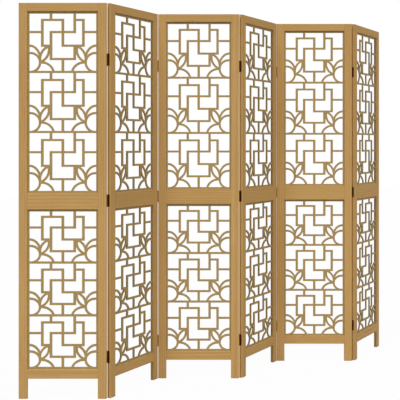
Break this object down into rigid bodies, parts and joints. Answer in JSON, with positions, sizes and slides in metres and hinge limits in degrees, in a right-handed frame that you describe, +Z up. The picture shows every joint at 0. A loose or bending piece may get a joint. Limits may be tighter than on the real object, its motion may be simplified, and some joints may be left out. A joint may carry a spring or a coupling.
{
  "type": "folding screen",
  "caption": "Freestanding folding screen: hinged timber frame panels with pierced fretwork lattice boards above and below a middle rail, standing in a zigzag on the feet of their stiles.",
  "frame": {"origin": "centre of the screen on the floor, as it stands half folded", "axes": "+X along the run of the screen to the right as seen from its front, +Y from its front to its back, +Z up"},
  "size_m": [2.1372, 0.2136, 1.8],
  "materials": {
    "frame_wood": "satin",
    "lattice_wood": "matte",
    "hinge_bronze": "dark satin",
    "screw_bronze": "dark satin"
  },
  "bodies": {
    "panel_1": {"left_stile_1": "frame_wood", "right_stile_1": "frame_wood", "top_rail_1": "frame_wood", "middle_rail_1": "frame_wood", "bottom_rail_1": "frame_wood", "upper_lattice_1": "lattice_wood", "lower_lattice_1": "lattice_wood", "hinge_leaves_1": "hinge_bronze", "hinge_screws_1": "screw_bronze", "hinge_pins_1_2": "screw_bronze"},
    "panel_2": {"left_stile_2": "frame_wood", "right_stile_2": "frame_wood", "top_rail_2": "frame_wood", "middle_rail_2": "frame_wood", "bottom_rail_2": "frame_wood", "upper_lattice_2": "lattice_wood", "lower_lattice_2": "lattice_wood", "hinge_leaves_2": "hinge_bronze", "hinge_screws_2": "screw_bronze", "hinge_pins_2_3": "screw_bronze"},
    "panel_3": {"left_stile_3": "frame_wood", "right_stile_3": "frame_wood", "top_rail_3": "frame_wood", "middle_rail_3": "frame_wood", "bottom_rail_3": "frame_wood", "upper_lattice_3": "lattice_wood", "lower_lattice_3": "lattice_wood", "hinge_leaves_3": "hinge_bronze", "hinge_screws_3": "screw_bronze", "hinge_pins_3_4": "screw_bronze"},
    "panel_4": {"left_stile_4": "frame_wood", "right_stile_4": "frame_wood", "top_rail_4": "frame_wood", "middle_rail_4": "frame_wood", "bottom_rail_4": "frame_wood", "upper_lattice_4": "lattice_wood", "lower_lattice_4": "lattice_wood", "hinge_leaves_4": "hinge_bronze", "hinge_screws_4": "screw_bronze", "hinge_pins_4_5": "screw_bronze"},
    "panel_5": {"left_stile_5": "frame_wood", "right_stile_5": "frame_wood", "top_rail_5": "frame_wood", "middle_rail_5": "frame_wood", "bottom_rail_5": "frame_wood", "upper_lattice_5": "lattice_wood", "lower_lattice_5": "lattice_wood", "hinge_leaves_5": "hinge_bronze", "hinge_screws_5": "screw_bronze", "hinge_pins_5_6": "screw_bronze"},
    "panel_6": {"left_stile_6": "frame_wood", "right_stile_6": "frame_wood", "top_rail_6": "frame_wood", "middle_rail_6": "frame_wood", "bottom_rail_6": "frame_wood", "upper_lattice_6": "lattice_wood", "lower_lattice_6": "lattice_wood", "hinge_leaves_6": "hinge_bronze", "hinge_screws_6": "screw_bronze"}
  },
  "joints": [
    {"name": "fold_2_3", "type": "hinge", "parent": "panel_3", "child": "panel_2", "pos_m": [-0.35667, 0.09251, 0.9], "axis": [0, 0, 1], "range_deg": [-60, 120]},
    {"name": "fold_1_2", "type": "hinge", "parent": "panel_2", "child": "panel_1", "pos_m": [-0.71335, -0.09251, 0.9], "axis": [0, 0, -1], "range_deg": [-60, 120]},
    {"name": "fold_3_4", "type": "hinge", "parent": "panel_3", "child": "panel_4", "pos_m": [0, -0.09251, 0.9], "axis": [0, 0, 1], "range_deg": [-60, 120]},
    {"name": "fold_4_5", "type": "hinge", "parent": "panel_4", "child": "panel_5", "pos_m": [0.35667, 0.09251, 0.9], "axis": [0, 0, -1], "range_deg": [-60, 120]},
    {"name": "fold_5_6", "type": "hinge", "parent": "panel_5", "child": "panel_6", "pos_m": [0.71335, -0.09251, 0.9], "axis": [0, 0, 1], "range_deg": [-60, 120]}
  ]
}
